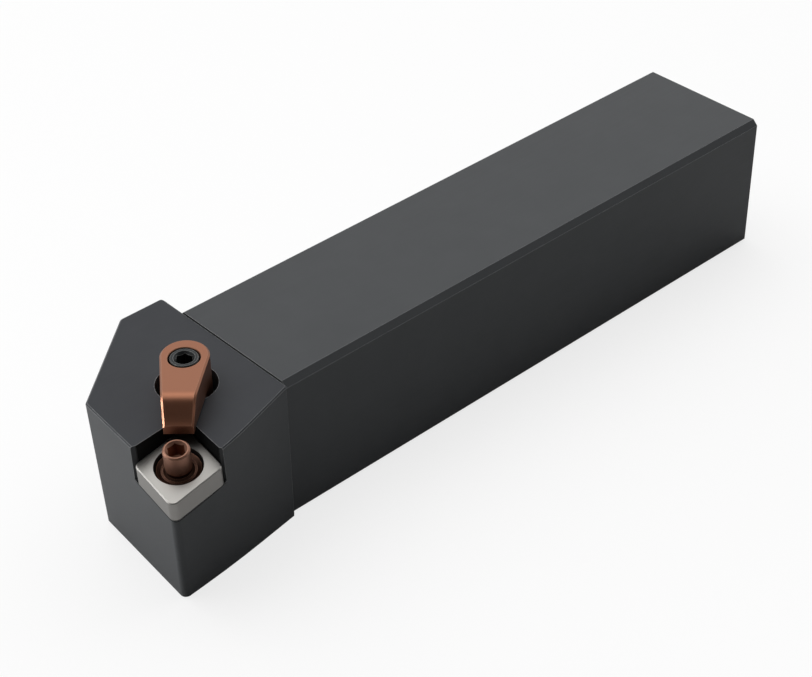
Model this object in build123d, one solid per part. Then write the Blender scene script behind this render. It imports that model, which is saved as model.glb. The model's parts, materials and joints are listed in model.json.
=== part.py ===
from build123d import *
from math import acos, atan2, cos, radians, sin, tan
import os

# Square-shank holder for external turning, for an 80 degree rhombic insert.
# Millimetres. The origin is the centre of the shank's underside.
# +X runs along the shank to the head, +Y to the cutting side, +Z up.

# Shank
shank_height = 32.0
shank_width = 32.0
overall_length = 170.0  # rear end to the sharp corner of the insert
corner_overhang = 8.0  # the insert's sharp corner beyond the shank's cutting side
top_edge_chamfer = 1.2
bottom_edge_chamfer = 0.6
rear_end_chamfer = 0.8

# Head
head_length = 33.0  # shoulder to the sharp corner of the insert
head_top_drop = 0.2  # the head's top lies this much below the ground shank
near_side_step = 0.5  # the head stands out this much beyond the shank's cutting side
wing_reach = 5.8  # and this much beyond its far side
wing_length = 10.0
diagonal_end = 5.0  # where the diagonal meets the front, on the far side of the centre line
edge_relief = 5.0  # plan angle of the front and side faces
front_lean = 4.5  # the faces lean outwards, going up
side_lean = 6.0
side_blend_length = 7.5  # the side face's slight bend is rounded over this much each way
tip_edge_radius = 1.2
far_edge_radius = 0.8
head_top_chamfer = 0.3
shoulder_chamfer = 0.4

# Insert that the pocket takes; the insert itself is not fitted
insert_angle = 80.0
insert_circle = 12.7
insert_thickness = 4.76
insert_hole = 5.16

# Pocket
seat_tilt = 6.0  # downwards to the front, and as much to the cutting side
seat_height = 26.2  # top of the shim at the insert's corner, above the underside
body_setback = 0.35  # the head's faces lie this much inside the insert's flanks
mouth_flare = 1.1
corner_relief_diameter = 3.0
corner_relief_depth = 0.3
pocket_clearance_height = 20.0

# Shim
shim_thickness = 4.76
shim_setback = 0.2  # inside the insert's cutting sides
shim_wall_gap = 0.15  # between the shim and the pocket's walls
shim_corner_radius = 1.3
shim_edge_chamfer = 0.2
counterbore_diameter = 9.1
counterbore_depth = 2.0
shim_hole_diameter = 6.4

# Lock pin
pin_hole_clearance = 0.16  # between the pin's head and the insert's hole, on the diameter
pin_top_drop = 0.25  # below the insert's top face
flange_diameter = 8.7
flange_thickness = 1.3
flange_dish_depth = 0.45
flange_dish_diameter = 6.6
pin_rim_chamfer = 0.3
pin_foot_slope = 0.4
pin_thread_diameter = 6.0
pin_thread_length = 9.0

# Clamp finger
clamp_angle = 47.0  # plan angle between the finger and the shank
clamp_reach = 18.5  # from the screw's axis to the middle of the seat
boss_diameter = 9.2
boss_setback = 0.9  # the round boss is centred this much behind the screw's axis
boss_depth = 10.0
arm_thickness = 5.5
finger_top_rise = 6.0  # above the head's top
nose_reach = 14.5
nose_width = 5.5
bend_start = 12.1
bend_hollow = 0.6  # depth of the bend's arc behind its chord
crest_radius = 1.3  # where the flat top rolls over into the bend
toe_drop = 4.3
nose_depth = 6.1
pad_length = 1.0
pad_slope_length = 0.5
finger_edge_chamfer = 0.35
hole_mouth_chamfer = 0.1

# Clamp screw, with a left-hand thread at the top and a right-hand one below
screw_diameter = 6.0
screw_length = 22.0
screw_end_chamfer = 0.4
screw_neck_diameter = 4.7
screw_neck_length = 2.5
screw_neck_depth = 10.3  # from the screw's top to the start of the neck

# Recess and holes in the head
recess_diameter = 11.9
recess_depth = 5.0
blind_end_room = 3.0

# Shared
key_size = 3.0  # hexagon across flats, in the screw and in the pin
key_depth = 3.2
key_mouth_chamfer = 0.3
thread_clearance = 0.05  # on the radius
face_clearance = 0.05
drill_point_angle = 118.0
drill_tip_radius = 0.3
cut_margin = 1.0  # how far a cut runs on past the face where it opens

# Values worked out from the ones above
shank_length = overall_length - head_length
functional_width = shank_width + corner_overhang
shoulder_x = shank_length / 2
head_top = shank_height - head_top_drop
half_angle = insert_angle / 2
insert_side = insert_circle / sin(radians(insert_angle))
shim_circle = insert_circle - shim_setback - shim_wall_gap
shim_side = shim_circle / sin(radians(insert_angle))
pin_head_diameter = insert_hole - pin_hole_clearance
lean = tan(radians(seat_tilt))

# The seat's own frame: x from the sharp corner back along the bisector, z out of the seat
seat_normal = Vector(lean, lean, 1).normalized()
seat_back = Vector(-1, -1, 2 * lean).normalized()
corner_drop = seat_normal * (insert_thickness / seat_normal.Z)
seat_corner = Vector(
    shoulder_x + head_length - corner_drop.X,
    functional_width - shank_width / 2 - corner_drop.Y,
    seat_height,
)
shim_top_plane = Plane(origin=seat_corner, x_dir=seat_back, z_dir=seat_normal)
seat_floor_plane = shim_top_plane.offset(-shim_thickness)
front_side = Vector(cos(radians(half_angle)), sin(radians(half_angle)))
cutting_side = Vector(front_side.X, -front_side.Y)
shim_tip_x = shim_setback / sin(radians(half_angle))
seat_middle_x = shim_tip_x + shim_side * cos(radians(half_angle))

# The finger's own frame: x from the screw's axis towards the seat, z up
seat_middle = shim_top_plane.from_local_coords(Vector(seat_middle_x, 0, 0))
finger_direction = Vector(cos(radians(clamp_angle)), sin(radians(clamp_angle)), 0)
finger_top = head_top + finger_top_rise
screw_axis = Vector(seat_middle.X, seat_middle.Y, 0) - finger_direction * clamp_reach
finger_plane = Plane(
    origin=(screw_axis.X, screw_axis.Y, finger_top),
    x_dir=finger_direction,
    z_dir=(0, 0, 1),
)


def edge_near(shape, point):
    """The edge of a shape whose middle is nearest to a point."""
    return shape.edges().sort_by(lambda edge: (edge @ 0.5 - Vector(point)).length)[0]


def round_rod(radius, top, bottom):
    """A cylinder on the local z axis, between two heights."""
    return Pos(0, 0, (top + bottom) / 2) * Cylinder(radius, top - bottom)


def drilled_end(radius, top):
    """The cone that a drill leaves below a height, at the end of its hole."""
    depth = (radius - drill_tip_radius) / tan(radians(drill_point_angle / 2))
    return Pos(0, 0, top - depth / 2) * Cone(drill_tip_radius, radius, depth)


def key_socket(top):
    """The hexagon hole for the key, with its countersunk mouth, open at a height."""
    corner_radius = key_size / 2 / cos(radians(30))
    mouth_radius = corner_radius + key_mouth_chamfer
    bottom = top - key_depth
    hexagon = Plane.XY.offset(bottom) * RegularPolygon(corner_radius, 6)
    socket = extrude(hexagon, key_depth)
    mouth_depth = mouth_radius - key_size / 2
    mouth = Pos(0, 0, top - mouth_depth / 2) * Cone(key_size / 2, mouth_radius, mouth_depth)
    return socket + drilled_end(key_size / 2, bottom) + mouth


def front_face_x(y, z):
    """Where the head's front face is, at a place across the holder and a height."""
    corner = seat_floor_plane.origin
    along = (corner.Y - body_setback - y) * tan(radians(edge_relief))
    return corner.X - body_setback - along - (corner.Z - z) * tan(radians(front_lean))


def side_face_y(x, z):
    """Where the head's side face is under the insert, at a place along the holder and a height."""
    corner = seat_floor_plane.origin
    along = (corner.X - body_setback - x) * tan(radians(edge_relief))
    return corner.Y - body_setback - along - (corner.Z - z) * tan(radians(side_lean))


def tip_corner(z):
    """Where the front and side faces meet, at a height."""
    slope = tan(radians(edge_relief))
    x = (front_face_x(0, z) + side_face_y(0, z) * slope) / (1 - slope**2)
    return x, side_face_y(x, z)


def diagonal_corner(z):
    """Where the front face and the upright diagonal face meet, at a height."""
    slope = tan(radians(edge_relief))
    start = Vector(front_face_x(-diagonal_end, head_top), -diagonal_end)
    run = Vector(shoulder_x + wing_length, -shank_width / 2 - wing_reach) - start
    share = (front_face_x(start.Y, z) - start.X) / (run.X - run.Y * slope)
    return start.X + share * run.X, start.Y + share * run.Y


def head_corners(z):
    """The head's corners at a height, from the shoulder round by the tip to the far side."""
    tip_x, tip_y = tip_corner(z)
    bend_x = tip_x - insert_side
    far_y = -shank_width / 2 - wing_reach
    return {
        "shoulder": (shoulder_x, shank_width / 2 + near_side_step, z),
        "side bend": (bend_x, side_face_y(bend_x, z), z),
        "tip": (tip_x, tip_y, z),
        "diagonal": (*diagonal_corner(z), z),
        "wing": (shoulder_x + wing_length, far_y, z),
        "far shoulder": (shoulder_x, far_y, z),
    }


def head_section(corners):
    """The head's outline through its corners, with the side's slight bend rounded."""
    section = Sketch() + Face(Wire.make_polygon(corners.values()))
    shoulder, bend, tip = (Vector(*corners[name]) for name in ("shoulder", "side bend", "tip"))
    turn = radians((bend - shoulder).get_angle(tip - bend))
    bend_vertex = section.vertices().sort_by_distance(bend)[0]
    return fillet(bend_vertex, side_blend_length / tan(turn / 2))


def head_blank():
    """The head before its pocket and holes: straight lines join the foot and the top outline."""
    foot = head_corners(0)
    top = head_corners(head_top)
    middle = {name: (Vector(*foot[name]) + Vector(*top[name])) * 0.5 for name in foot}
    blank = loft([head_section(foot), head_section(top)], ruled=True)
    blank = fillet(edge_near(blank, middle["tip"]), tip_edge_radius)
    far_edges = [edge_near(blank, middle[name]) for name in ("diagonal", "wing", "far shoulder")]
    blank = fillet(far_edges, far_edge_radius)
    blank = chamfer(edge_near(blank, middle["shoulder"]), shoulder_chamfer)
    top_face = blank.faces().sort_by(Axis.Z)[-1]
    return chamfer(top_face.edges(), head_top_chamfer)


def shank_bar():
    """The ground bar, with chamfered long edges and a chamfered rear end."""
    bar = Pos(0, 0, shank_height / 2) * Box(shank_length, shank_width, shank_height)
    long_edges = bar.edges().filter_by(Axis.X)
    bar = chamfer(long_edges.group_by(Axis.Z)[-1], top_edge_chamfer)
    bar = chamfer(bar.edges().filter_by(Axis.X).group_by(Axis.Z)[0], bottom_edge_chamfer)
    rear_face = bar.faces().sort_by(Axis.X)[0]
    return chamfer(rear_face.edges(), rear_end_chamfer)


def insert_pocket():
    """What the pocket takes out: a corner open to the front and the side, with flared mouths."""
    back = (front_side + cutting_side) * insert_side
    wall_length = insert_side - body_setback - mouth_flare
    past_the_head = head_length
    flare_run = mouth_flare + cut_margin
    front_flare = back - cutting_side * wall_length
    side_flare = back - front_side * wall_length
    outwards = (front_side - cutting_side).normalized()
    outline = [
        back,
        front_flare,
        front_flare + (outwards - cutting_side) * flare_run,
        front_flare - cutting_side * past_the_head,
        back - (front_side + cutting_side) * past_the_head,
        side_flare - front_side * past_the_head,
        side_flare - (outwards + front_side) * flare_run,
        side_flare,
    ]
    corners = [(point.X, point.Y) for point in outline]
    room = extrude(seat_floor_plane * Polygon(*corners, align=None), pocket_clearance_height)
    relief_circle = Pos(back.X, back.Y) * Circle(corner_relief_diameter / 2)
    relief_floor = seat_floor_plane.offset(-corner_relief_depth)
    relief = extrude(relief_floor * relief_circle, pocket_clearance_height)
    return room + relief


def pin_hole():
    """The tapped hole under the seat."""
    radius = pin_thread_diameter / 2 + thread_clearance
    bottom = -pin_thread_length - blind_end_room
    hole = round_rod(radius, cut_margin, bottom) + drilled_end(radius, bottom)
    return seat_floor_plane * Pos(seat_middle_x, 0, 0) * hole


def clamp_recess():
    """The round recess that takes the finger's boss, and the tapped hole below it."""
    recess = round_rod(recess_diameter / 2, head_top + cut_margin, head_top - recess_depth)
    radius = screw_diameter / 2 + thread_clearance
    bottom = finger_top - screw_length - blind_end_room
    hole = round_rod(radius, head_top, bottom) + drilled_end(radius, bottom)
    return Pos(screw_axis.X, screw_axis.Y, 0) * (recess + hole)


def make_holder_body():
    """Shank and head, one piece of steel."""
    body = head_blank() + shank_bar()
    return body - insert_pocket() - pin_hole() - clamp_recess()


def make_shim():
    """The flat rhombic seat under the insert, counterbored for the pin's flange."""
    tip = Vector(shim_tip_x, 0)
    corners = [
        tip,
        tip + cutting_side * shim_side,
        tip + (front_side + cutting_side) * shim_side,
        tip + front_side * shim_side,
    ]
    rhombus = Polygon(*[(point.X, point.Y) for point in corners], align=None)
    plate = extrude(fillet(rhombus.vertices(), shim_corner_radius), -shim_thickness)
    plate = chamfer(plate.faces().sort_by(Axis.Z)[-1].edges(), shim_edge_chamfer)
    plate = chamfer(plate.faces().sort_by(Axis.Z)[0].edges(), shim_edge_chamfer)
    counterbore = round_rod(counterbore_diameter / 2, cut_margin, -counterbore_depth)
    hole = round_rod(shim_hole_diameter / 2, cut_margin, -shim_thickness - cut_margin)
    return shim_top_plane * (plate - Pos(seat_middle_x, 0, 0) * (counterbore + hole))


def make_lock_pin():
    """The pin that holds the shim down with its flange and stands up into the insert's hole."""
    head_radius = pin_head_diameter / 2
    flange_radius = flange_diameter / 2
    thread_radius = pin_thread_diameter / 2
    top = insert_thickness - pin_top_drop
    flange_bottom = face_clearance - counterbore_depth
    flange_top = flange_bottom + flange_thickness
    dish = flange_top - flange_dish_depth
    end = -shim_thickness - pin_thread_length
    rim = pin_rim_chamfer
    half_section = Polygon(
        (0, top),
        (head_radius - rim, top),
        (head_radius, top - rim),
        (head_radius, dish + pin_foot_slope),
        (head_radius + pin_foot_slope, dish),
        (flange_dish_diameter / 2, dish),
        (flange_radius - rim, flange_top),
        (flange_radius, flange_top - rim),
        (flange_radius, flange_bottom),
        (thread_radius, flange_bottom),
        (thread_radius, end + screw_end_chamfer),
        (thread_radius - screw_end_chamfer, end),
        (0, end),
        align=None,
    )
    pin = revolve(Plane.XZ * half_section, Axis.Z) - key_socket(top)
    return shim_top_plane * Pos(seat_middle_x, 0, 0) * pin


def finger_plan():
    """The finger seen from above: a round boss, and straight sides that taper to the nose."""
    radius = boss_diameter / 2
    boss = Vector(-boss_setback, 0)
    nose = Vector(nose_reach, nose_width / 2)
    run = nose - boss
    turn = atan2(run.Y, run.X) + acos(radius / run.length)
    touch = boss + Vector(radius * cos(turn), radius * sin(turn))
    taper = Polygon(
        (touch.X, -touch.Y),
        (nose.X, -nose.Y),
        (nose.X, nose.Y),
        (touch.X, touch.Y),
        align=None,
    )
    return Pos(boss.X, boss.Y) * Circle(radius) + taper


def finger_profile():
    """The arm seen from the side: flat top, hollow bend down to the toe, a short pad below."""
    rear = -boss_diameter
    pad_start = nose_reach - pad_length
    slope_start = pad_start - pad_slope_length
    top = Line((rear, 0), (bend_start, 0))
    bend = SagittaArc((bend_start, 0), (nose_reach, -toe_drop), -bend_hollow)
    rest = Polyline(
        (nose_reach, -toe_drop),
        (nose_reach, -nose_depth),
        (pad_start, -nose_depth),
        (slope_start, -arm_thickness),
        (rear, -arm_thickness),
        (rear, 0),
    )
    profile = Sketch() + make_face(Plane.XZ * (top + bend + rest))
    return fillet(profile.vertices().sort_by_distance((bend_start, 0, 0))[0], crest_radius)


def make_clamp_finger():
    """The finger: its boss stands in the recess, its arm crosses the pocket's back corner."""
    arm = extrude(finger_plan(), -nose_depth)
    arm = arm & extrude(finger_profile(), boss_diameter, both=True)
    crest = arm.faces().sort_by(Axis.Z)[-1]
    arm = chamfer(crest.edges() - crest.edges().filter_by(Axis.Y), finger_edge_chamfer)
    boss = Pos(-boss_setback, 0) * round_rod(boss_diameter / 2, -arm_thickness / 2, -boss_depth)
    radius = screw_diameter / 2 + thread_clearance
    hole = round_rod(radius, cut_margin, -boss_depth - cut_margin)
    mouth_radius = radius + hole_mouth_chamfer
    mouth = Pos(0, 0, -hole_mouth_chamfer / 2) * Cone(radius, mouth_radius, hole_mouth_chamfer)
    return finger_plane * (arm + boss - hole - mouth)


def make_clamp_screw():
    """The headless screw that draws the finger down, flush with the finger's top."""
    radius = screw_diameter / 2
    neck_radius = screw_neck_diameter / 2
    bevel = radius - neck_radius
    neck_end = screw_neck_depth + screw_neck_length
    half_section = Polygon(
        (0, 0),
        (radius - screw_end_chamfer, 0),
        (radius, -screw_end_chamfer),
        (radius, bevel - screw_neck_depth),
        (neck_radius, -screw_neck_depth),
        (neck_radius, -neck_end),
        (radius, -neck_end - bevel),
        (radius, screw_end_chamfer - screw_length),
        (radius - screw_end_chamfer, -screw_length),
        (0, -screw_length),
        align=None,
    )
    return finger_plane * (revolve(Plane.XZ * half_section, Axis.Z) - key_socket(0))


os.makedirs("parts", exist_ok=True)
pieces = {
    "holder_body": make_holder_body(),
    "shim": make_shim(),
    "lock_pin": make_lock_pin(),
    "clamp_finger": make_clamp_finger(),
    "clamp_screw": make_clamp_screw(),
}
for name, shape in pieces.items():
    export_step(shape, f"parts/{name}.step")
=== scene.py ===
# %% [markdown]
# # A turning tool holder
# A square steel bar that a lathe's tool post grips, with a head that carries a small cutting
# insert. The insert is not fitted, so its bare seat shows: a bright rhombic shim, the brown pin
# that holds it, and the copper-coloured finger that would press the insert down. The construction
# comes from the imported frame, which already has every piece at its real size. This scene gives
# each piece its finish, winds the threads, and sets up the floor, the light and the camera.

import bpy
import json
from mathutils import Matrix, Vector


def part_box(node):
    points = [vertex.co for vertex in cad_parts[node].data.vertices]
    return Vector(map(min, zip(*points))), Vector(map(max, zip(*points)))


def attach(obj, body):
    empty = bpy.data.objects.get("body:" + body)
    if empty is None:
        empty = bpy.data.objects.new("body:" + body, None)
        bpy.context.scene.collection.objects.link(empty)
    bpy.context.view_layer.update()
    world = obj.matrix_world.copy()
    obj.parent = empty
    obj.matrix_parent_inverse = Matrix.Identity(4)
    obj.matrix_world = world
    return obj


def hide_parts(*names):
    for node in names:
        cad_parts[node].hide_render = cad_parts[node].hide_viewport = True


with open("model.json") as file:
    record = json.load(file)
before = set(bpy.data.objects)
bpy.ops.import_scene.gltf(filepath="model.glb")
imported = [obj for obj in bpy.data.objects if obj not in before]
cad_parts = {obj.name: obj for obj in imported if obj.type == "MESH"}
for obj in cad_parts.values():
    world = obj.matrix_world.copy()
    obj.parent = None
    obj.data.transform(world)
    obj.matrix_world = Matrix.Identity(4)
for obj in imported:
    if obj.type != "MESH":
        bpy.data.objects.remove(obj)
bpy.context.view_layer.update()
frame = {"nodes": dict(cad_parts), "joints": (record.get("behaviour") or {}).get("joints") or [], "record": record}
print("nodes:", sorted(frame["nodes"]))

# %% [markdown]
# ## Units, colours and places
# Blender works in metres, and a workshop drawing is in millimetres, so sizes are written in
# millimetres and multiplied by one value. Colours are written as the hex values that a picture
# editor shows. Blender's sockets want linear light, so one function turns them. The places that
# the finishes need, such as the screw's axis, are read from the frame: its mounts are the faces
# that other parts touch, and its joints are what moves.

# %% Units, colours and places
import json
import math

import bmesh
import bpy
from mathutils import Matrix, Quaternion, Vector

MM = 0.001
mounts = {mount["name"]: mount for mount in frame["record"]["mounts"]}
joints = {joint["name"]: joint for joint in frame["joints"]}
SHOULDER_X = -mounts["shank_end"]["pos_m"][0]
SHANK_TOP = mounts["shank_top"]["pos_m"][2]
SEAT_MIDDLE = Vector(joints["lock_pin_turn"]["pos_m"])
SEAT_NORMAL = Vector(joints["lock_pin_turn"]["axis"]).normalized()
SCREW_TOP = Vector(joints["clamp_screw_turn"]["pos_m"])
SCREW_TOP.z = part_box("clamp_screw")[1].z
UP = Vector((0, 0, 1))


def colour(hex_code):
    """A linear RGBA colour from an sRGB hex value such as #A0785A."""
    channels = [int(hex_code[i:i + 2], 16) / 255 for i in (1, 3, 5)]
    linear = [c / 12.92 if c <= 0.04045 else ((c + 0.055) / 1.055) ** 2.4 for c in channels]
    return (*linear, 1.0)


print("mid grey #808080 in linear light:", round(colour("#808080")[0], 3))
print("shoulder at", round(SHOULDER_X / MM, 2), "mm")
print("screw's top at", round(SCREW_TOP.z / MM, 2), "mm")

# %% [markdown]
# ## One helper for nodes
# A material is a small graph, and so is a rule that makes geometry. This helper adds one node to
# a graph, sets its options, and either links or sets each input. Everything else about a graph is
# then a plain list of such calls.

# %% A helper that adds one node
def add(tree, kind, inputs=None, **options):
    """Adds a node, sets its options, and links or sets its inputs by name or number."""
    node = tree.nodes.new(kind)
    for name, value in options.items():
        setattr(node, name, value)
    for name, value in (inputs or {}).items():
        if isinstance(value, bpy.types.NodeSocket):
            tree.links.new(value, node.inputs[name])
        else:
            node.inputs[name].default_value = value
    return node


def start_material(name):
    """A new material with an empty graph, its graph, and the place on the piece."""
    material = bpy.data.materials.new(name)
    material.use_nodes = True
    tree = material.node_tree
    tree.nodes.clear()
    return material, tree, add(tree, "ShaderNodeTexCoord").outputs["Object"]


def finish_material(tree, surface):
    """Ends a material's graph with its output."""
    add(tree, "ShaderNodeOutputMaterial", {"Surface": surface})


# %% [markdown]
# ## Where on a piece
# One piece often has several surfaces: ground here, milled there, and painted lighter on the edges as a painted
# highlight.
# Two small masks tell them apart, both from the piece itself, so that they stay put in any view.
# An edge is where the Bevel node's rounded normal leaves the true one. A region is the inner side
# of a few planes.

# %% Masks for edges and regions
EDGE_WIDTH = 0.18 * MM
BEVEL_SAMPLES = 6
FLAT_AGREEMENT = 0.995
EDGE_AGREEMENT = 0.93


def on_edge(tree, width):
    """White within a width of a sharp edge."""
    rounded = add(tree, "ShaderNodeBevel", {"Radius": width}, samples=BEVEL_SAMPLES)
    true = add(tree, "ShaderNodeNewGeometry")
    agreement = add(
        tree,
        "ShaderNodeVectorMath",
        {0: rounded.outputs["Normal"], 1: true.outputs["Normal"]},
        operation="DOT_PRODUCT",
    )
    mask = add(
        tree,
        "ShaderNodeMapRange",
        {
            "Value": agreement.outputs["Value"],
            "From Min": FLAT_AGREEMENT,
            "From Max": EDGE_AGREEMENT,
        },
    )
    return mask.outputs["Result"]


def inside(tree, place, planes):
    """1 on the inner side of every plane, each given as a point on it and its inward normal."""
    mask = None
    for point, normal in planes:
        height = add(tree, "ShaderNodeVectorMath", {0: place, 1: normal}, operation="DOT_PRODUCT")
        side = add(
            tree,
            "ShaderNodeMath",
            {0: height.outputs["Value"], 1: normal.dot(point)},
            operation="GREATER_THAN",
        ).outputs[0]
        if mask is not None:
            side = add(tree, "ShaderNodeMath", {0: mask, 1: side}, operation="MULTIPLY").outputs[0]
        mask = side
    return mask


def layered(tree, base, layers):
    """A base colour with further colours laid over it, each where its mask is white."""
    for mask, top in layers:
        base = add(
            tree,
            "ShaderNodeMix",
            {"Factor": mask, 6: base, 7: top},
            data_type="RGBA",
        ).outputs[2]
    return base


# %% [markdown]
# ## Black-oxide steel
# Shank and head are one forging, milled and ground, then blackened in a hot salt bath. The bath
# grows a thin, dense layer of black iron oxide on the metal. To the eye that is a deep neutral
# grey with a soft sheen, a little of the metal's own reflection, and fine marks from grinding
# along the shank. Its edges are painted lighter, a painted highlight with some rubbed wear. The
# head's milled top is darker and bluer than the ground shank. The pocket is painted nearly black,
# painted shade, and so is a thin line just below the shim, a painted shadow.

# %% Where the pocket's painted shade goes
POCKET_CORNER_BACK = 9.84 * MM
POCKET_HALF_ANGLE = math.radians(40)
# The painted shade reaches 0.29 mm below the seat's floor: a painted shadow line under the shim's lower edge.
PAINTED_SHADE_DEPTH = 5.05 * MM
WALL_SLACK = 0.05 * MM

seat_back = Vector((-1, -1, 0))
seat_back = (seat_back - SEAT_NORMAL * seat_back.dot(SEAT_NORMAL)).normalized()
seat_side = SEAT_NORMAL.cross(seat_back)
pocket_corner = SEAT_MIDDLE + seat_back * POCKET_CORNER_BACK
pocket_shade_planes = [(SEAT_MIDDLE - SEAT_NORMAL * PAINTED_SHADE_DEPTH, SEAT_NORMAL)]
for hand in (1, -1):
    wall_normal = (
        -seat_back * math.sin(POCKET_HALF_ANGLE) + seat_side * hand * math.cos(POCKET_HALF_ANGLE)
    )
    pocket_shade_planes.append((pocket_corner - wall_normal * WALL_SLACK, wall_normal))
print("pocket's back corner in mm:", [round(value / MM, 2) for value in pocket_corner])

# %% Black-oxide steel
# The real grinding marks are a few hundredths of a millimetre wide: drawn coarser, so they show.
GRINDING_MARK_WIDTH = 0.35 * MM
GRINDING_MARK_LENGTH = 14 * MM
MOTTLE_SIZE = 9 * MM
GROUND_BLACK = ("#414345", "#484A4C")
MILLED_BLACK = ("#2F3135", "#37393D")
# Near-black painted shade for the pocket's walls and floor.
POCKET_PAINTED_SHADE = "#101112"
# Lighter edges: a painted highlight for light caught by the small edge rounds, with some rubbed wear.
EDGE_HIGHLIGHT_AND_WEAR = "#8A8B8C"
HEAD_TOP_MARGIN = 0.4 * MM
BLACK_ROUGHNESS = (0.46, 0.56)
POCKET_ROUGHNESS = 0.9
METAL_SHARE = 0.12
SHEEN_LEVEL = 0.2
MARK_STRENGTH = 0.04
MARK_DEPTH = 0.02 * MM


def black_oxide_steel():
    material, tree, place = start_material("black_oxide_steel")
    head_top = inside(
        tree,
        place,
        [
            (Vector((SHOULDER_X, 0, 0)), Vector((1, 0, 0))),
            (Vector((0, 0, SHANK_TOP - HEAD_TOP_MARGIN)), UP),
        ],
    )
    scale = (1 / GRINDING_MARK_LENGTH, 1 / GRINDING_MARK_WIDTH, 1 / GRINDING_MARK_WIDTH)
    stretched = add(tree, "ShaderNodeMapping", {"Vector": place, "Scale": scale})
    marks = add(
        tree,
        "ShaderNodeTexNoise",
        {"Vector": stretched.outputs["Vector"], "Scale": 1.0, "Detail": 3.0},
    ).outputs["Fac"]
    mottle = add(
        tree,
        "ShaderNodeTexNoise",
        {"Vector": place, "Scale": 1 / MOTTLE_SIZE, "Detail": 4.0, "Roughness": 0.6},
    ).outputs["Fac"]
    ground = layered(tree, colour(GROUND_BLACK[0]), [(mottle, colour(GROUND_BLACK[1]))])
    milled = layered(tree, colour(MILLED_BLACK[0]), [(mottle, colour(MILLED_BLACK[1]))])
    # The pocket and the thin line under the shim are painted near-black: painted shade and a painted shadow.
    pocket = inside(tree, place, pocket_shade_planes)
    # The edge layer below is a painted highlight, with some rubbed wear.
    base = layered(
        tree,
        ground,
        [
            (head_top, milled),
            (pocket, colour(POCKET_PAINTED_SHADE)),
            (on_edge(tree, EDGE_WIDTH), colour(EDGE_HIGHLIGHT_AND_WEAR)),
        ],
    )
    satin = add(
        tree,
        "ShaderNodeMapRange",
        {"Value": marks, "To Min": BLACK_ROUGHNESS[0], "To Max": BLACK_ROUGHNESS[1]},
    )
    roughness = add(
        tree,
        "ShaderNodeMapRange",
        {"Value": pocket, "To Min": satin.outputs["Result"], "To Max": POCKET_ROUGHNESS},
    )
    bump = add(
        tree,
        "ShaderNodeBump",
        {"Height": marks, "Strength": MARK_STRENGTH, "Distance": MARK_DEPTH},
    )
    surface = add(
        tree,
        "ShaderNodeBsdfPrincipled",
        {
            "Base Color": base,
            "Roughness": roughness.outputs["Result"],
            "Metallic": METAL_SHARE,
            "Specular IOR Level": SHEEN_LEVEL,
            "Normal": bump.outputs["Normal"],
        },
    )
    finish_material(tree, surface.outputs["BSDF"])
    return material


# %% [markdown]
# ## Bare and coated metals
# The four small pieces are metals whose own reflection makes the picture, so they share one
# recipe: a base colour with layers, an even fine grain in the roughness, and the same grain as a
# faint bump. Only the colours and the roughness differ. The grain is far finer than a pixel on
# the real pieces, and is drawn coarser here so that the satin shows.

# %% A recipe for satin metal
GRAIN_SIZE = 0.12 * MM
GRAIN_STRENGTH = 0.08
GRAIN_DEPTH = 0.01 * MM


def satin_metal(tree, place, base, roughness_range, metallic=1.0):
    """Finishes a material's graph as a metal with a fine even grain."""
    grain = add(
        tree,
        "ShaderNodeTexNoise",
        {"Vector": place, "Scale": 1 / GRAIN_SIZE, "Detail": 4.0},
    ).outputs["Fac"]
    roughness = add(
        tree,
        "ShaderNodeMapRange",
        {"Value": grain, "To Min": roughness_range[0], "To Max": roughness_range[1]},
    )
    bump = add(
        tree,
        "ShaderNodeBump",
        {"Height": grain, "Strength": GRAIN_STRENGTH, "Distance": GRAIN_DEPTH},
    )
    surface = add(
        tree,
        "ShaderNodeBsdfPrincipled",
        {
            "Base Color": base,
            "Roughness": roughness.outputs["Result"],
            "Metallic": metallic,
            "Normal": bump.outputs["Normal"],
        },
    )
    finish_material(tree, surface.outputs["BSDF"])


# %% [markdown]
# ## Ground carbide
# The shim is sintered tungsten carbide. Its faces are ground flat, and its top is a bright, cool
# light grey. Its sides are painted a darker grey as painted shade, and its edges lighter as a
# painted highlight. A painted shadow line runs where its lower chamfer meets the seat.

# %% Ground carbide
GROUND_CARBIDE = "#A5A39F"
# The darker grey of the shim's sides is painted shade.
CARBIDE_SIDE_SHADE = "#807E7B"
# A lighter painted highlight along the shim's edges.
CARBIDE_EDGE_HIGHLIGHT = "#A09E9A"
# A near-black painted shadow line along the shim's lowest 0.3 mm, where it meets the seat.
SHADOW_LINE_PAINT = "#0E0E0E"
SHADOW_LINE_HEIGHT = 0.3 * MM
CARBIDE_ROUGHNESS = (0.4, 0.5)
SHIM_CHAMFER = 0.2 * MM
SHIM_THICKNESS = 4.76 * MM


def ground_carbide():
    material, tree, place = start_material("ground_tungsten_carbide")
    top = inside(tree, place, [(SEAT_MIDDLE - SEAT_NORMAL * SHIM_CHAMFER, SEAT_NORMAL)])
    foot = SEAT_MIDDLE - SEAT_NORMAL * (SHIM_THICKNESS - SHADOW_LINE_HEIGHT)
    base = layered(
        tree,
        colour(CARBIDE_SIDE_SHADE),
        [
            (top, colour(GROUND_CARBIDE)),
            (on_edge(tree, EDGE_WIDTH), colour(CARBIDE_EDGE_HIGHLIGHT)),
            (inside(tree, place, [(foot, -SEAT_NORMAL)]), colour(SHADOW_LINE_PAINT)),
        ],
    )
    satin_metal(tree, place, base, CARBIDE_ROUGHNESS)
    return material


# %% [markdown]
# ## Copper-coloured and brown hardened steel
# Finger and pin are hardened steel with a warm conversion coat. It is thin, so the metal's
# reflection comes through it, tinted like old copper, and its edges are painted lighter as a
# painted highlight.
# The pin's coat is a browner one, painted darker as painted shade where the flange lies in the shim.

# %% Copper-coloured and brown hardened steel
COPPER = "#8D604B"
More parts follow.
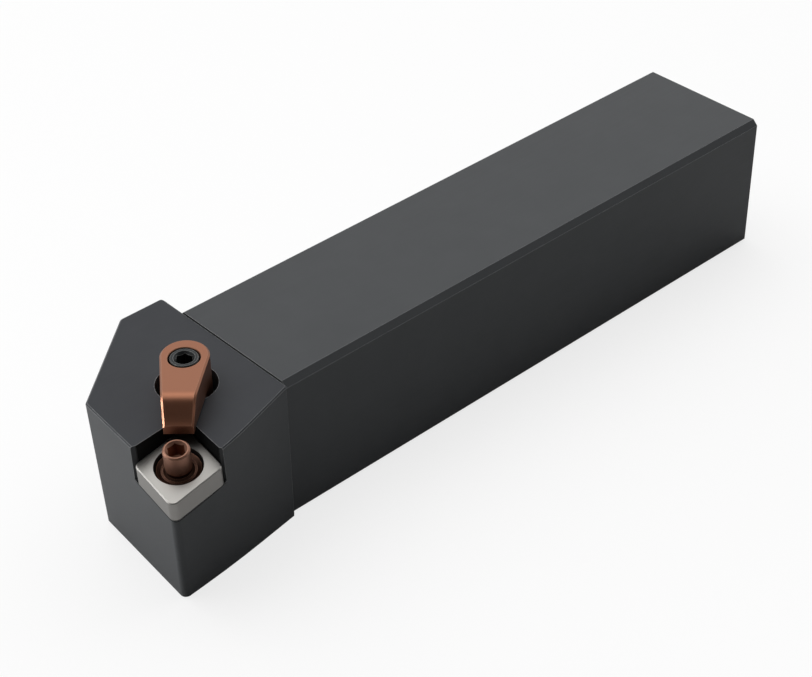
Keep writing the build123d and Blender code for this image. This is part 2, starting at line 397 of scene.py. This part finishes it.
# A lighter painted highlight along the finger's edges.
COPPER_EDGE_HIGHLIGHT = "#A57A64"
COPPER_ROUGHNESS = (0.36, 0.44)
BROWN = "#946E5D"
# A lighter painted highlight along the pin's edges.
BROWN_EDGE_HIGHLIGHT = "#98735F"
# Painted shade on the pin below the seat, where the flange lies in the shim.
BROWN_PAINTED_SHADE = "#4C372E"
BROWN_ROUGHNESS = (0.42, 0.5)


def copper_coloured_steel():
    material, tree, place = start_material("copper_coloured_hardened_steel")
    base = layered(tree, colour(COPPER), [(on_edge(tree, EDGE_WIDTH), colour(COPPER_EDGE_HIGHLIGHT))])
    satin_metal(tree, place, base, COPPER_ROUGHNESS)
    return material


def brown_steel():
    material, tree, place = start_material("brown_hardened_steel")
    base = layered(
        tree,
        colour(BROWN),
        [
            (inside(tree, place, [(SEAT_MIDDLE, -SEAT_NORMAL)]), colour(BROWN_PAINTED_SHADE)),
            (on_edge(tree, EDGE_WIDTH), colour(BROWN_EDGE_HIGHLIGHT)),
        ],
    )
    satin_metal(tree, place, base, BROWN_ROUGHNESS)
    return material


# %% [markdown]
# ## Blackened screw steel
# The clamp screw has the finish of most socket screws: black oxide over a machined surface, with
# a lighter rim that is a painted highlight on its edges. Its socket and the pin's are broached, and
# deep inside they are painted near-black as painted shade.

# %% Blackened screw steel
SCREW_BLACK = "#2E3031"
# A lighter painted highlight along the screw's edges and rim.
SCREW_EDGE_HIGHLIGHT = "#8C8C8A"
# Near-black painted shade for the inside of the sockets.
SOCKET_PAINTED_SHADE = "#2A211D"
SCREW_ROUGHNESS = (0.3, 0.42)
SOCKET_SHADE_ROUGHNESS = (0.5, 0.6)


def blackened_screw_steel():
    material, tree, place = start_material("blackened_screw_steel")
    base = layered(tree, colour(SCREW_BLACK), [(on_edge(tree, EDGE_WIDTH), colour(SCREW_EDGE_HIGHLIGHT))])
    satin_metal(tree, place, base, SCREW_ROUGHNESS, metallic=0.9)
    return material


def paint_socket_shade():
    material, tree, place = start_material("paint_socket_shade")
    satin_metal(tree, place, colour(SOCKET_PAINTED_SHADE), SOCKET_SHADE_ROUGHNESS)
    return material


# %% Give each piece its finish
finishes = {
    "holder_body": black_oxide_steel(),
    "shim": ground_carbide(),
    "clamp_finger": copper_coloured_steel(),
    "clamp_screw": blackened_screw_steel(),
    "lock_pin": brown_steel(),
}
socket_shade_finish = paint_socket_shade()
for node_name, finish in finishes.items():
    for slot in frame["nodes"][node_name].material_slots:
        slot.material = finish
    print(node_name, "has", finish.name)

# %% [markdown]
# ## A thread as a rule
# The frame's screw and pin have plain cylinders where the real ones have M6 threads. A thread
# follows a rule, one ridge wound round a core, so Geometry Nodes make it: a spiral curve, a
# trapezoid swept along it, and a taper at both ends where the ridge runs out. The sweep scales
# the trapezoid about the curve, so the trapezoid's foot is sunk a little into the core.
# A positive pitch winds a left-hand thread upwards, and a negative one a right-hand thread
# downwards, which is the same ridge seen from its other end.

# %% A tree that winds a thread
THREAD_SOCKETS = {
    "Core radius": "NodeSocketFloat",
    "Pitch": "NodeSocketFloat",
    "Turns": "NodeSocketFloat",
    "Ridge height": "NodeSocketFloat",
    "Sunk foot": "NodeSocketFloat",
    "Foot width": "NodeSocketFloat",
    "Crest width": "NodeSocketFloat",
    "Run-out turns": "NodeSocketFloat",
    "Finish": "NodeSocketMaterial",
}
POINTS_PER_TURN = 48
RUN_OUT_SCALE = 0.05


def thread_tree():
    """Geometry Nodes that wind a ridge round the z axis."""
    tree = bpy.data.node_groups.new("wound_thread", "GeometryNodeTree")
    for name, kind in THREAD_SOCKETS.items():
        tree.interface.new_socket(name, in_out="INPUT", socket_type=kind)
    tree.interface.new_socket("Mesh", in_out="OUTPUT", socket_type="NodeSocketGeometry")
    given = add(tree, "NodeGroupInput").outputs
    length = add(
        tree,
        "ShaderNodeMath",
        {0: given["Pitch"], 1: given["Turns"]},
        operation="MULTIPLY",
    )
    spiral = add(
        tree,
        "GeometryNodeCurveSpiral",
        {
            "Resolution": POINTS_PER_TURN,
            "Rotations": given["Turns"],
            "Start Radius": given["Core radius"],
            "End Radius": given["Core radius"],
            "Height": length.outputs[0],
        },
    )
    upright = add(tree, "GeometryNodeSetCurveNormal", {"Curve": spiral.outputs[0]}, mode="Z_UP")
    whole = add(
        tree,
        "ShaderNodeMath",
        {0: given["Ridge height"], 1: given["Sunk foot"]},
        operation="ADD",
    )
    trapezoid = add(
        tree,
        "GeometryNodeCurvePrimitiveQuadrilateral",
        {
            "Height": whole.outputs[0],
            "Bottom Width": given["Foot width"],
            "Top Width": given["Crest width"],
            "Offset": 0.0,
        },
        mode="TRAPEZOID",
    )
    sideways = add(
        tree,
        "ShaderNodeMath",
        {0: given["Sunk foot"], 1: given["Ridge height"]},
        operation="SUBTRACT",
    )
    halved = add(tree, "ShaderNodeMath", {0: sideways.outputs[0], 1: 0.5}, operation="MULTIPLY")
    shift = add(tree, "ShaderNodeCombineXYZ", {"X": halved.outputs[0]})
    profile = add(
        tree,
        "GeometryNodeTransform",
        {
            "Geometry": trapezoid.outputs[0],
            "Translation": shift.outputs[0],
            "Rotation": (0, 0, math.radians(90)),
        },
    )
    along = add(tree, "GeometryNodeSplineParameter").outputs["Factor"]
    remaining = add(tree, "ShaderNodeMath", {0: 1.0, 1: along}, operation="SUBTRACT")
    to_end = add(tree, "ShaderNodeMath", {0: along, 1: remaining.outputs[0]}, operation="MINIMUM")
    turns_to_end = add(
        tree,
        "ShaderNodeMath",
        {0: to_end.outputs[0], 1: given["Turns"]},
        operation="MULTIPLY",
    )
    taper = add(
        tree,
        "ShaderNodeMapRange",
        {
            "Value": turns_to_end.outputs[0],
            "From Max": given["Run-out turns"],
            "To Min": RUN_OUT_SCALE,
        },
    )
    ridge = add(
        tree,
        "GeometryNodeCurveToMesh",
        {
            "Curve": upright.outputs[0],
            "Profile Curve": profile.outputs[0],
            "Scale": taper.outputs["Result"],
            "Fill Caps": True,
        },
    )
    real = add(tree, "GeometryNodeRealizeInstances", {"Geometry": ridge.outputs[0]})
    coated = add(
        tree,
        "GeometryNodeSetMaterial",
        {"Geometry": real.outputs[0], "Material": given["Finish"]},
    )
    add(tree, "NodeGroupOutput", {0: coated.outputs[0]})
    return tree


wound_thread = thread_tree()
print("the thread's inputs:", ", ".join(THREAD_SOCKETS))

# %% [markdown]
# ## From rule to ridge
# A modifier on an empty mesh runs the tree. Its inputs are set by each socket's identifier, the
# result becomes a plain mesh, and the object with the modifier is removed. The sizes are those of
# a standard M6 thread: 1 mm pitch, flanks 60 degrees apart, and a crest an eighth of the pitch.

# %% Wind one ridge
PITCH = 1.0 * MM
MAJOR_RADIUS = 3.0 * MM
RIDGE_SHARE = 0.6134
RIDGE_HEIGHT = RIDGE_SHARE * PITCH
CORE_RADIUS = MAJOR_RADIUS - RIDGE_HEIGHT
CREST_WIDTH = PITCH / 8
SUNK_FOOT = 0.06 * MM
FLANK_ANGLE = math.radians(30)
FOOT_WIDTH = CREST_WIDTH + 2 * (RIDGE_HEIGHT + SUNK_FOOT) * math.tan(FLANK_ANGLE)
RUN_OUT_TURNS = 0.4


def wind(low, high, left_hand, finish):
    """One ridge round the z axis, between two heights, as a plain mesh."""
    turns = (high - low) / PITCH
    values = {
        "Core radius": CORE_RADIUS,
        "Pitch": PITCH if left_hand else -PITCH,
        "Turns": turns,
        "Ridge height": RIDGE_HEIGHT,
        "Sunk foot": SUNK_FOOT,
        "Foot width": FOOT_WIDTH,
        "Crest width": CREST_WIDTH,
        "Run-out turns": RUN_OUT_TURNS,
        "Finish": finish,
    }
    winder = bpy.data.objects.new("winder", bpy.data.meshes.new("winder"))
    bpy.context.collection.objects.link(winder)
    modifier = winder.modifiers.new("wound_thread", "NODES")
    modifier.node_group = wound_thread
    for item in wound_thread.interface.items_tree:
        if item.in_out == "INPUT":
            modifier[item.identifier] = values[item.name]
    graph = bpy.context.evaluated_depsgraph_get()
    ridge = bpy.data.meshes.new_from_object(winder.evaluated_get(graph))
    bpy.data.objects.remove(winder)
    ridge.transform(Matrix.Translation((0, 0, low if left_hand else high)))
    print("ridge of", round(turns, 1), "turns:", len(ridge.polygons), "faces")
    return ridge


# %% [markdown]
# ## The cores
# Screw and pin are turned on a lathe, so each core is a list of rings from the bottom of its
# socket, up over the rim and down the outside. The socket is a hexagon whose mouth is opened by a
# cone, and where the cone meets the six flats it leaves a scalloped rim: the ring there is as deep
# as the cone is narrow.

# %% Rings, and a skin over them
RING_POINTS = 96
SOCKET_RADIUS = 1.5 * MM
SOCKET_DEPTH = 3.2 * MM
MOUTH_WIDENING = 0.3 * MM
MOUTH_RADIUS = SOCKET_RADIUS / math.cos(math.radians(30)) + MOUTH_WIDENING
DRILL_TIP = 0.3 * MM
DRILL_HALF_ANGLE = math.radians(59)
DRILL_DEPTH = (SOCKET_RADIUS - DRILL_TIP) / math.tan(DRILL_HALF_ANGLE)
DRILL_CLEARANCE = 0.04 * MM
SOCKET_SHADE_BANDS = 3
SHARP_ANGLE = math.radians(30)


def ring(radius, height):
    """Points round the z axis. Radius and height are numbers, or functions of the angle."""
    points = []
    for i in range(RING_POINTS):
        angle = 2 * math.pi * i / RING_POINTS
        r = radius(angle) if callable(radius) else radius
        z = height(angle) if callable(height) else height
        points.append((r * math.cos(angle), r * math.sin(angle), z))
    return points


def flat_radius(angle):
    """The distance from the axis to the hexagon's wall."""
    return SOCKET_RADIUS / math.cos(angle % math.radians(60) - math.radians(30))


def hexagon_socket(top):
    """The socket's rings, from its drilled bottom up to its mouth."""
    bottom = top - SOCKET_DEPTH
    return [
        ring(DRILL_TIP, bottom - DRILL_DEPTH),
        ring(SOCKET_RADIUS - DRILL_CLEARANCE, bottom),
        ring(flat_radius, bottom),
        ring(flat_radius, lambda angle: top - (MOUTH_RADIUS - flat_radius(angle))),
        ring(MOUTH_RADIUS, top),
    ]


def skin(rings):
    """A closed mesh over rings, with a flat cap at each end. The socket's faces come first."""
    points = [point for each in rings for point in each]
    faces = [tuple(range(RING_POINTS)), tuple(range(len(points) - RING_POINTS, len(points)))]
    for start in range(0, len(points) - RING_POINTS, RING_POINTS):
        for i in range(RING_POINTS):
            j = (i + 1) % RING_POINTS
            above = start + RING_POINTS
            faces.append((start + i, start + j, above + j, above + i))
    mesh = bpy.data.meshes.new("core")
    mesh.from_pydata(points, [], faces)
    # The socket's bottom cap and its deepest bands of faces get the painted shade.
    for face in mesh.polygons:
        in_socket = face.index == 0 or 2 <= face.index < 2 + SOCKET_SHADE_BANDS * RING_POINTS
        face.material_index = 1 if in_socket else 0
    return mesh


def stand(node_name, body, parts, place):
    """Joins parts to one piece, puts it in its place and lets it stand for a node of the frame."""
    joined = bmesh.new()
    for part in parts:
        joined.from_mesh(part)
    bmesh.ops.recalc_face_normals(joined, faces=joined.faces)
    joined.transform(place)
    mesh = bpy.data.meshes.new("real_" + node_name)
    joined.to_mesh(mesh)
    joined.free()
    mesh.shade_smooth()
    mesh.set_sharp_from_angle(angle=SHARP_ANGLE)
    mesh.materials.clear()
    mesh.materials.append(finishes[node_name])
    # A piece with a socket gets the socket's painted shade as a second material.
    if any(face.material_index for face in mesh.polygons):
        mesh.materials.append(socket_shade_finish)
    piece = bpy.data.objects.new(mesh.name, mesh)
    bpy.context.collection.objects.link(piece)
    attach(piece, body)
    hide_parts(node_name)
    print(piece.name, "has", len(mesh.polygons), "faces")


# %% [markdown]
# ## The clamp screw
# A headless screw with a left-hand thread at the top, in the finger, and a right-hand one below,
# in the head, with a thin neck between them. One turn of it moves the finger by two pitches.

# %% The clamp screw
SCREW_LENGTH = 22.0 * MM
NECK_TOP = -10.3 * MM
NECK_BOTTOM = -12.8 * MM
NECK_RADIUS = 2.3 * MM
FACE_RADIUS = 2.6 * MM
COLLAR_RADIUS = 2.72 * MM
COLLAR_TOP = -0.12 * MM
COLLAR_BOTTOM = -0.3 * MM
CORE_TOP = -0.62 * MM
NECK_SLOPE = 0.3 * MM
END_CHAMFER = 0.3 * MM
THREAD_MARGIN = 0.6 * MM
TOP_MARGIN = 0.5 * MM
FINGER_ANGLE = math.radians(47)

screw_rings = hexagon_socket(0) + [
    ring(FACE_RADIUS, 0),
    ring(COLLAR_RADIUS, COLLAR_TOP),
    ring(COLLAR_RADIUS, COLLAR_BOTTOM),
    ring(CORE_RADIUS, CORE_TOP),
    ring(CORE_RADIUS, NECK_TOP + NECK_SLOPE),
    ring(NECK_RADIUS, NECK_TOP),
    ring(NECK_RADIUS, NECK_BOTTOM),
    ring(CORE_RADIUS, NECK_BOTTOM - NECK_SLOPE),
    ring(CORE_RADIUS, END_CHAMFER - SCREW_LENGTH),
    ring(CORE_RADIUS - END_CHAMFER, -SCREW_LENGTH),
]
screw_parts = [
    skin(screw_rings),
    wind(NECK_TOP + THREAD_MARGIN, -TOP_MARGIN, True, finishes["clamp_screw"]),
    wind(
        THREAD_MARGIN - SCREW_LENGTH,
        NECK_BOTTOM - THREAD_MARGIN,
        False,
        finishes["clamp_screw"],
    ),
]
screw_place = Matrix.Translation(SCREW_TOP) @ Matrix.Rotation(FINGER_ANGLE, 4, "Z")
stand("clamp_screw", "clamp_screw", screw_parts, screw_place)

# %% [markdown]
# ## The lock pin
# Its head stands up into the insert's hole, its dished flange holds the shim down in the
# counterbore, and its thread sits in the head, square to the tilted seat.

# %% The lock pin
PIN_TOP = 4.51 * MM
PIN_RADIUS = 2.5 * MM
RIM = 0.3 * MM
FOOT_SLOPE = 0.4 * MM
DISH = -1.1 * MM
DISH_RADIUS = 3.3 * MM
FLANGE_TOP = -0.65 * MM
FLANGE_BOTTOM = -1.95 * MM
FLANGE_RADIUS = 4.35 * MM
THREAD_TOP = -4.9 * MM
PIN_END = -13.76 * MM
PIN_END_CHAMFER = 0.4 * MM

pin_rings = hexagon_socket(PIN_TOP) + [
    ring(PIN_RADIUS - RIM, PIN_TOP),
    ring(PIN_RADIUS, PIN_TOP - RIM),
    ring(PIN_RADIUS, DISH + FOOT_SLOPE),
    ring(PIN_RADIUS + FOOT_SLOPE, DISH),
    ring(DISH_RADIUS, DISH),
    ring(FLANGE_RADIUS - RIM, FLANGE_TOP),
    ring(FLANGE_RADIUS, FLANGE_TOP - RIM),
    ring(FLANGE_RADIUS, FLANGE_BOTTOM),
    ring(MAJOR_RADIUS, FLANGE_BOTTOM),
    ring(MAJOR_RADIUS, THREAD_TOP + THREAD_MARGIN),
    ring(CORE_RADIUS, THREAD_TOP),
    ring(CORE_RADIUS, PIN_END + PIN_END_CHAMFER),
    ring(CORE_RADIUS - PIN_END_CHAMFER, PIN_END),
]
pin_parts = [
    skin(pin_rings),
    wind(PIN_END + THREAD_MARGIN, THREAD_TOP, False, finishes["lock_pin"]),
]
upright_to_seat = UP.rotation_difference(SEAT_NORMAL).to_matrix().to_4x4()
pin_place = Matrix.Translation(SEAT_MIDDLE) @ upright_to_seat
stand("lock_pin", "lock_pin", pin_parts, pin_place)

# %% [markdown]
# ## The clamp finger
# It is milled from bar: a round boss, an arm that tapers to the nose, a flat top that rolls softly
# over into a hollow bend, and a light bevel all round. The frame's finger has these forms with a
# tighter roll, so it is drawn again here. Sections across the arm carry the width, the height and
# the bevel, and two cuts from the workshop finish it: a boss is joined on, and the hole is bored.

# %% Sections across the finger
BOSS_RADIUS = 4.6 * MM
BOSS_BACK = 0.9 * MM
BOSS_BOTTOM = -10 * MM
ARM_BOTTOM = -5.5 * MM
NOSE_REACH = 14.5 * MM
NOSE_HALF_WIDTH = 2.75 * MM
NOSE_BOTTOM = -6.1 * MM
PAD_STARTS = (13.0 * MM, 13.5 * MM)
FINGER_BEVEL = 0.35 * MM
BEND = [Vector(point) * MM for point in ((9.6, 0), (12.2, 0), (12.3, -2.3), (14.5, -4.3))]
BEND_STEPS = 24
BOSS_STEPS = 28
FLAT_STATIONS = (2, 4, 6, 8, 9, 9.4)


def bend_at(share):
    """Place and slope of the bend, a Bezier curve from the flat top to the toe."""
    rest = 1 - share
    weights = (rest**3, 3 * rest**2 * share, 3 * rest * share**2, share**3)
    place = sum((point * weight for point, weight in zip(BEND, weights)), Vector((0, 0)))
    legs = [after - before for before, after in zip(BEND, BEND[1:])]
    course = legs[0] * rest**2 + legs[1] * 2 * rest * share + legs[2] * share**2
    return place, course.y / course.x


def underside(x):
    """Height of the finger's lower face."""
    start, end = PAD_STARTS
    share = min(max((x - start) / (end - start), 0), 1)
    return ARM_BOTTOM + share * (NOSE_BOTTOM - ARM_BOTTOM)


def section(outer, inner, height, slope):
    """Six points round the arm, for the outer edge and the bevel's inner edge in plan."""
    drop = FINGER_BEVEL * math.hypot(1, slope)
    low = underside(outer[0])
    half_section = [
        (outer[0], outer[1], low),
        (outer[0], outer[1], height - drop),
        (inner[0], inner[1], height),
    ]
    return half_section + [(x, -y, z) for x, y, z in reversed(half_section)]


run = Vector((NOSE_REACH + BOSS_BACK, NOSE_HALF_WIDTH))
touch_angle = math.atan2(run.y, run.x) + math.acos(BOSS_RADIUS / run.length)
sections = []
for i in range(BOSS_STEPS + 1):
    angle = math.pi + (touch_angle - math.pi) * i / BOSS_STEPS
    outer, inner = (
        (r * math.cos(angle) - BOSS_BACK, r * math.sin(angle))
        for r in (BOSS_RADIUS, BOSS_RADIUS - FINGER_BEVEL)
    )
    sections.append(section(outer, inner, 0, 0))
touch = Vector(sections[-1][0][:2])
taper = (NOSE_HALF_WIDTH - touch.y) / (NOSE_REACH - touch.x)
stations = [((x * MM, 0), 0) for x in FLAT_STATIONS]
stations += [bend_at(i / BEND_STEPS) for i in range(BEND_STEPS + 1)]
for (x, z), slope in stations:
    half_width = touch.y + taper * (x - touch.x)
    inner_width = half_width - FINGER_BEVEL * math.hypot(1, taper)
    sections.append(section((x, half_width), (x, inner_width), z, slope))
print(len(sections), "sections; the arm narrows to", round(2 * half_width / MM, 2), "mm")

# %% The clamp finger
HOLE_RADIUS = 3.05 * MM
HOLE_MOUTH = 0.12 * MM
JOIN_SLACK = 0.015 * MM
MERGE_DISTANCE = 0.001 * MM
BORE_OVERRUN = 1 * MM


def closed_strip(rows):
    """A closed mesh over rows of points, the first of which is folded to a line."""
    count = len(rows[0])
    points = [point for row in rows for point in row]
    faces = [tuple(range(len(points) - count, len(points)))]
    for start in range(0, len(points) - count, count):
        for i in range(count):
            j = (i + 1) % count
            faces.append((start + i, start + j, start + count + j, start + count + i))
    mesh = bpy.data.meshes.new("strip")
    mesh.from_pydata(points, [], faces)
    shape = bmesh.new()
    shape.from_mesh(mesh)
    bmesh.ops.remove_doubles(shape, verts=shape.verts, dist=MERGE_DISTANCE)
    bmesh.ops.dissolve_degenerate(shape, edges=shape.edges, dist=MERGE_DISTANCE)
    bmesh.ops.recalc_face_normals(shape, faces=shape.faces)
    shape.to_mesh(mesh)
    shape.free()
    return mesh


def turned(rings, offset):
    """A closed turned shape, moved along the finger."""
    shape = bmesh.new()
    shape.from_mesh(skin(rings))
    bmesh.ops.recalc_face_normals(shape, faces=shape.faces)
    shape.transform(Matrix.Translation((offset, 0, 0)))
    mesh = bpy.data.meshes.new("turned")
    shape.to_mesh(mesh)
    shape.free()
    for face in mesh.polygons:
        face.material_index = 0
    return mesh


boss_radius = BOSS_RADIUS - JOIN_SLACK
boss = turned([ring(boss_radius, BOSS_BOTTOM), ring(boss_radius, ARM_BOTTOM / 2)], -BOSS_BACK)
bore = turned(
    [
        ring(HOLE_RADIUS, BOSS_BOTTOM - BORE_OVERRUN),
        ring(HOLE_RADIUS, -HOLE_MOUTH),
        ring(HOLE_RADIUS + 2 * HOLE_MOUTH, HOLE_MOUTH),
    ],
    0,
)
arm = bpy.data.objects.new("arm", closed_strip(sections))
cutters = [bpy.data.objects.new(name, mesh) for name, mesh in (("boss", boss), ("bore", bore))]
for workpiece in (arm, *cutters):
    bpy.context.collection.objects.link(workpiece)
for cutter, operation in zip(cutters, ("UNION", "DIFFERENCE")):
    step = arm.modifiers.new(cutter.name, "BOOLEAN")
    step.object = cutter
    step.operation = operation
    step.solver = "EXACT"
graph = bpy.context.evaluated_depsgraph_get()
finger_mesh = bpy.data.meshes.new_from_object(arm.evaluated_get(graph))
for workpiece in (arm, *cutters):
    bpy.data.objects.remove(workpiece)
stand("clamp_finger", "clamp_finger", [finger_mesh], screw_place)

# %% [markdown]
# ## Floor
# A white sheet that keeps the holder's soft shadow. The camera and mirror-like reflections see it
# white. To light that bounces on, it is a mid grey, so that it doesn't brighten the holder's sides
# from below. For the camera alone the sheet also glows a little, as a lit table does, which keeps
# the shadow as light as it is in a catalogue picture.

# %% Floor
FLOOR_SIZE = 6.0
FLOOR_GAP = 0.02 * MM
FLOOR_WHITE = "#FFFFFF"
FLOOR_BOUNCE = "#8C8C8C"
FLOOR_GLOW = 0.76


def seen_directly(tree, path):
    """1 for the rays that show a thing: from the camera, a reflection or through glass."""
    camera_or_glossy = add(
        tree,
        "ShaderNodeMath",
        {0: path.outputs["Is Camera Ray"], 1: path.outputs["Is Glossy Ray"]},
        operation="MAXIMUM",
    )
    seen = add(
        tree,
        "ShaderNodeMath",
        {0: camera_or_glossy.outputs[0], 1: path.outputs["Is Transmission Ray"]},
        operation="MAXIMUM",
    )
    return seen.outputs[0]


def white_sheet():
    material, tree, _ = start_material("white_sheet")
    path = add(tree, "ShaderNodeLightPath")
    shade = layered(tree, colour(FLOOR_BOUNCE), [(seen_directly(tree, path), colour(FLOOR_WHITE))])
    lit = add(tree, "ShaderNodeBsdfDiffuse", {"Color": shade})
    glow = add(tree, "ShaderNodeEmission", {"Color": colour(FLOOR_WHITE), "Strength": 1.0})
    share = add(
        tree,
        "ShaderNodeMath",
        {0: path.outputs["Is Camera Ray"], 1: FLOOR_GLOW},
        operation="MULTIPLY",
    )
    sheet = add(
        tree,
        "ShaderNodeMixShader",
        {0: share.outputs[0], 1: lit.outputs["BSDF"], 2: glow.outputs["Emission"]},
    )
    finish_material(tree, sheet.outputs["Shader"])
    return material


half = FLOOR_SIZE / 2
floor_mesh = bpy.data.meshes.new("floor")
floor_corners = [
    (x, y, -FLOOR_GAP) for x, y in ((-half, -half), (half, -half), (half, half), (-half, half))
]
floor_mesh.from_pydata(floor_corners, [], [(0, 1, 2, 3)])
floor_mesh.materials.append(white_sheet())
floor = bpy.data.objects.new("floor", floor_mesh)
bpy.context.collection.objects.link(floor)
print("floor:", FLOOR_SIZE, "m square,", round(FLOOR_GAP / MM, 3), "mm below the holder")

# %% [markdown]
# ## Light
# A product photographer would stand the holder on a white sheet that curves up behind it, in a
# room that is otherwise dim. The world does that here: bright behind the holder, dim in front, so
# that flat tops mirror the sheet and whatever turns to the front falls off into brown and black.
# The camera sees white all round, and metal sees it white where the sheet is. A large soft box
# hangs high at the back and gives the shadow. A long low strip stands on the left. It lies below
# the tops of bar and head, so it lights the head's front, leaves the side with the open pocket in
# shade, and puts no glare on those tops.

# %% Light
BEHIND = Vector((-0.57, -0.62, 0.54)).normalized()
BACKDROP_LIGHT = 1.25
ROOM_LIGHT = 0.08
BACKDROP_EDGE = (0.05, 0.85)

world = bpy.data.worlds.new("backdrop_and_room")
bpy.context.scene.world = world
world.use_nodes = True
world.node_tree.nodes.clear()
tree = world.node_tree
direction = add(tree, "ShaderNodeTexCoord").outputs["Generated"]
towards_backdrop = add(
    tree,
    "ShaderNodeVectorMath",
    {0: direction, 1: BEHIND},
    operation="DOT_PRODUCT",
)
on_backdrop = add(
    tree,
    "ShaderNodeMapRange",
    {
        "Value": towards_backdrop.outputs["Value"],
        "From Min": BACKDROP_EDGE[0],
        "From Max": BACKDROP_EDGE[1],
    },
    interpolation_type="SMOOTHSTEP",
)
light = add(
    tree,
    "ShaderNodeMapRange",
    {"Value": on_backdrop.outputs["Result"], "To Min": ROOM_LIGHT, "To Max": BACKDROP_LIGHT},
)
path = add(tree, "ShaderNodeLightPath")
mirrored = add(
    tree,
    "ShaderNodeMath",
    {0: seen_directly(tree, path), 1: on_backdrop.outputs["Result"]},
    operation="MULTIPLY",
)
white = add(
    tree,
    "ShaderNodeMath",
    {0: path.outputs["Is Camera Ray"], 1: mirrored.outputs[0]},
    operation="MAXIMUM",
)
strength = add(
    tree,
    "ShaderNodeMath",
    {0: white.outputs[0], 1: light.outputs["Result"]},
    operation="MAXIMUM",
)
background = add(
    tree,
    "ShaderNodeBackground",
    {"Color": colour("#FFFFFF"), "Strength": strength.outputs[0]},
)
add(tree, "ShaderNodeOutputWorld", {"Surface": background.outputs["Background"]})


def soft_box(name, place, aim, width, height, power, spread=math.pi):
    """An area light at a place, turned to a point. Its light leaves within the spread."""
    lamp = bpy.data.lights.new(name, "AREA")
    lamp.shape = "RECTANGLE"
    lamp.size = width
    lamp.size_y = height
    lamp.energy = power
    lamp.spread = spread
    box = bpy.data.objects.new(name, lamp)
    box.location = place
    box.rotation_euler = (Vector(aim) - Vector(place)).to_track_quat("-Z", "Y").to_euler()
    bpy.context.collection.objects.link(box)
    print(name, "is", round((Vector(aim) - Vector(place)).length, 2), "m from its aim")


soft_box(
    "high_box", place=(0.60, -0.70, 1.70), aim=(0.0, 0.0, 0.0), width=1.8, height=1.8, power=15
)
soft_box(
    "left_strip",
    place=(0.47, -0.39, 0.016),
    aim=(0.05, -0.06, 0.016),
    width=0.34,
    height=0.028,
    power=0.25,
    spread=math.radians(60),
)

# %% [markdown]
# ## Camera
# The picture is taken with a longish lens, from above the head and the open side of the pocket.
# The camera leans by a degree, as a hand-held one does.

# %% Camera
CAMERA_PLACE = Vector((0.2390, 0.2376, 0.2516))
CAMERA_AIM = Vector((0.02455, 0.00059, 0.01119))
CAMERA_ROLL = math.radians(-0.93)
LENS = 85.55

camera_data = bpy.data.cameras.new("camera")
camera_data.lens = LENS
camera_data.clip_start = 0.01
camera = bpy.data.objects.new("camera", camera_data)
camera.location = CAMERA_PLACE
camera.rotation_mode = "QUATERNION"
look = (CAMERA_AIM - CAMERA_PLACE).to_track_quat("-Z", "Y")
camera.rotation_quaternion = look @ Quaternion((0, 0, 1), CAMERA_ROLL)
bpy.context.collection.objects.link(camera)
bpy.context.scene.camera = camera
bpy.context.scene.view_settings.view_transform = "Standard"
print("camera is", round((CAMERA_AIM - CAMERA_PLACE).length, 3), "m from its aim")
